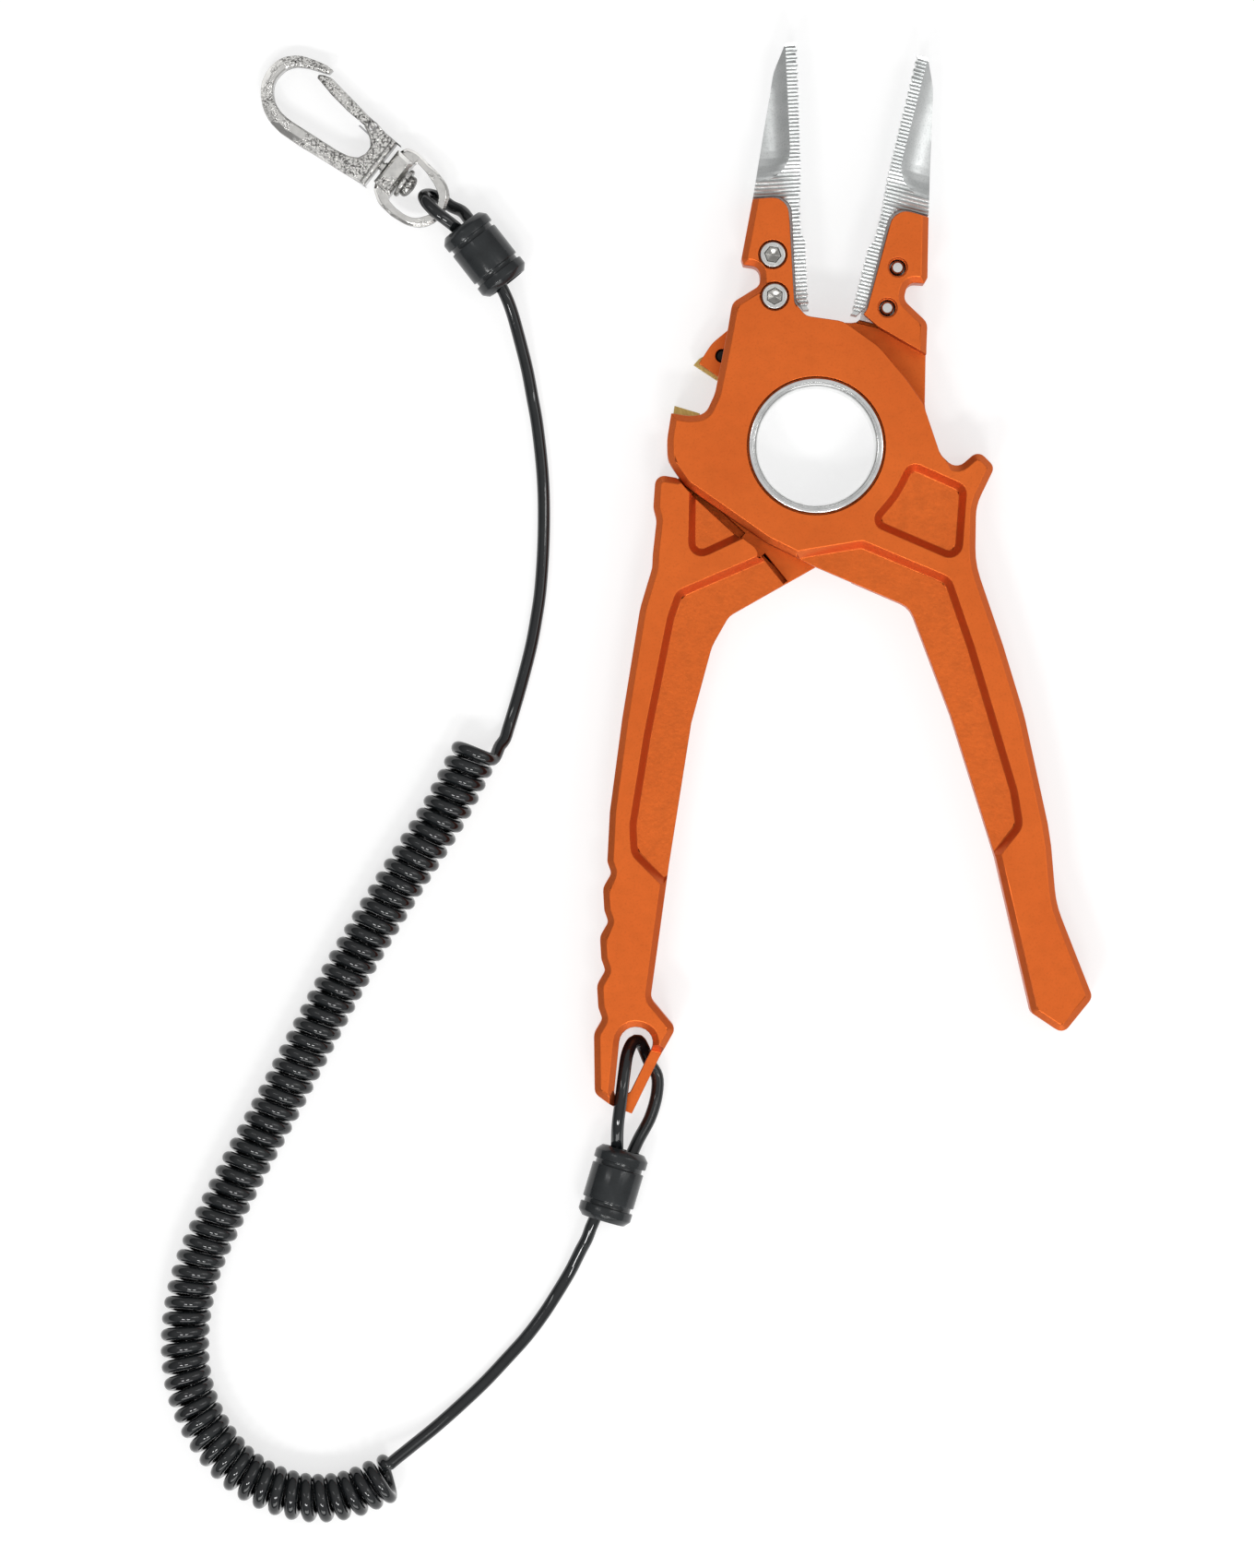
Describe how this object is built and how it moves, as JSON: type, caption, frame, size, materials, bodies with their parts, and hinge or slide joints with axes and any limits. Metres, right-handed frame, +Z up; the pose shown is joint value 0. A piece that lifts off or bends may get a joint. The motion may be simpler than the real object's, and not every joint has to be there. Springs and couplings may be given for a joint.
{
  "type": "fishing pliers",
  "caption": "Sprung lapped-hub fishing pliers with replaceable serrated jaws, side cutters and a hollow pivot, on a coiled lanyard with a swivel snap clip.",
  "frame": {"origin": "middle of the pliers' own box in X and Y, on the surface they lie on; the lanyard and its clip are left out of that box", "axes": "+Z up along the pivot axis, +Y towards the jaws along the line half way between them when open"},
  "size_m": [0.1594, 0.2636, 0.012],
  "materials": {
    "anodised_orange": "orange anodised milled aluminium, satin",
    "jaw_steel": "satin milled stainless steel",
    "screw_steel": "bright stainless steel",
    "polished_steel": "polished stainless steel",
    "cutter_gold": "gold-coloured hard coating on carbide",
    "spring_steel": "spring steel wire and small screws",
    "washer_white": "low-friction polymer",
    "cord_black": "glossy polyurethane sleeve",
    "barrel_black": "satin turned black polymer",
    "ferrule_aluminium": "crimped aluminium",
    "nickel_plate": "nickel-plated die casting"
  },
  "bodies": {
    "lower_body": {"lower_half": "anodised_orange", "lower_jaw": "jaw_steel", "lower_jaw_screw_1": "screw_steel", "lower_jaw_screw_2": "screw_steel", "lower_cutter": "cutter_gold", "lower_cutter_screw": "spring_steel", "pivot_tube": "polished_steel", "pivot_ring": "polished_steel", "torsion_spring": "spring_steel", "lap_washer": "washer_white", "cord_loop_handle": "cord_black", "cord_lead_handle": "cord_black", "cord_coil": "cord_black", "cord_lead_clip": "cord_black", "cord_loop_clip": "cord_black", "cord_barrel_handle": "barrel_black", "cord_ferrule_handle": "ferrule_aluminium", "cord_barrel_clip": "barrel_black", "cord_ferrule_clip": "ferrule_aluminium", "swivel_bow": "nickel_plate"},
    "upper_body": {"upper_half": "anodised_orange", "upper_jaw": "jaw_steel", "upper_jaw_screw_1": "screw_steel", "upper_jaw_screw_2": "screw_steel", "upper_cutter": "cutter_gold", "upper_cutter_screw": "spring_steel"},
    "clip_body": {"swivel_post": "nickel_plate", "clip_frame": "nickel_plate", "gate_pin": "nickel_plate", "gate_spring": "spring_steel"},
    "gate_body": {"clip_gate": "nickel_plate"}
  },
  "joints": [
    {"name": "plier_pivot", "type": "hinge", "parent": "lower_body", "child": "upper_body", "pos_m": [-0.01404, 0.02452, 0.006], "axis": [0, 0, -1], "range_deg": [0, 16.8], "stiffness_Nm_per_rad": 0.3, "springref_deg": -20.05, "deforming": ["torsion_spring"]},
    {"name": "clip_spin", "type": "hinge", "parent": "lower_body", "child": "clip_body", "pos_m": [-0.09262, 0.06452, 0.00362], "axis": [-0.851, 0.5215, -0.0628], "continuous": true},
    {"name": "gate_hinge", "type": "hinge", "parent": "clip_body", "child": "gate_body", "pos_m": [-0.09615, 0.07203, 0.00318], "axis": [-0.0535, 0.0328, 0.998], "range_deg": [0, 26], "stiffness_Nm_per_rad": 0.004, "springref_deg": -22.92, "deforming": ["gate_spring"]}
  ]
}
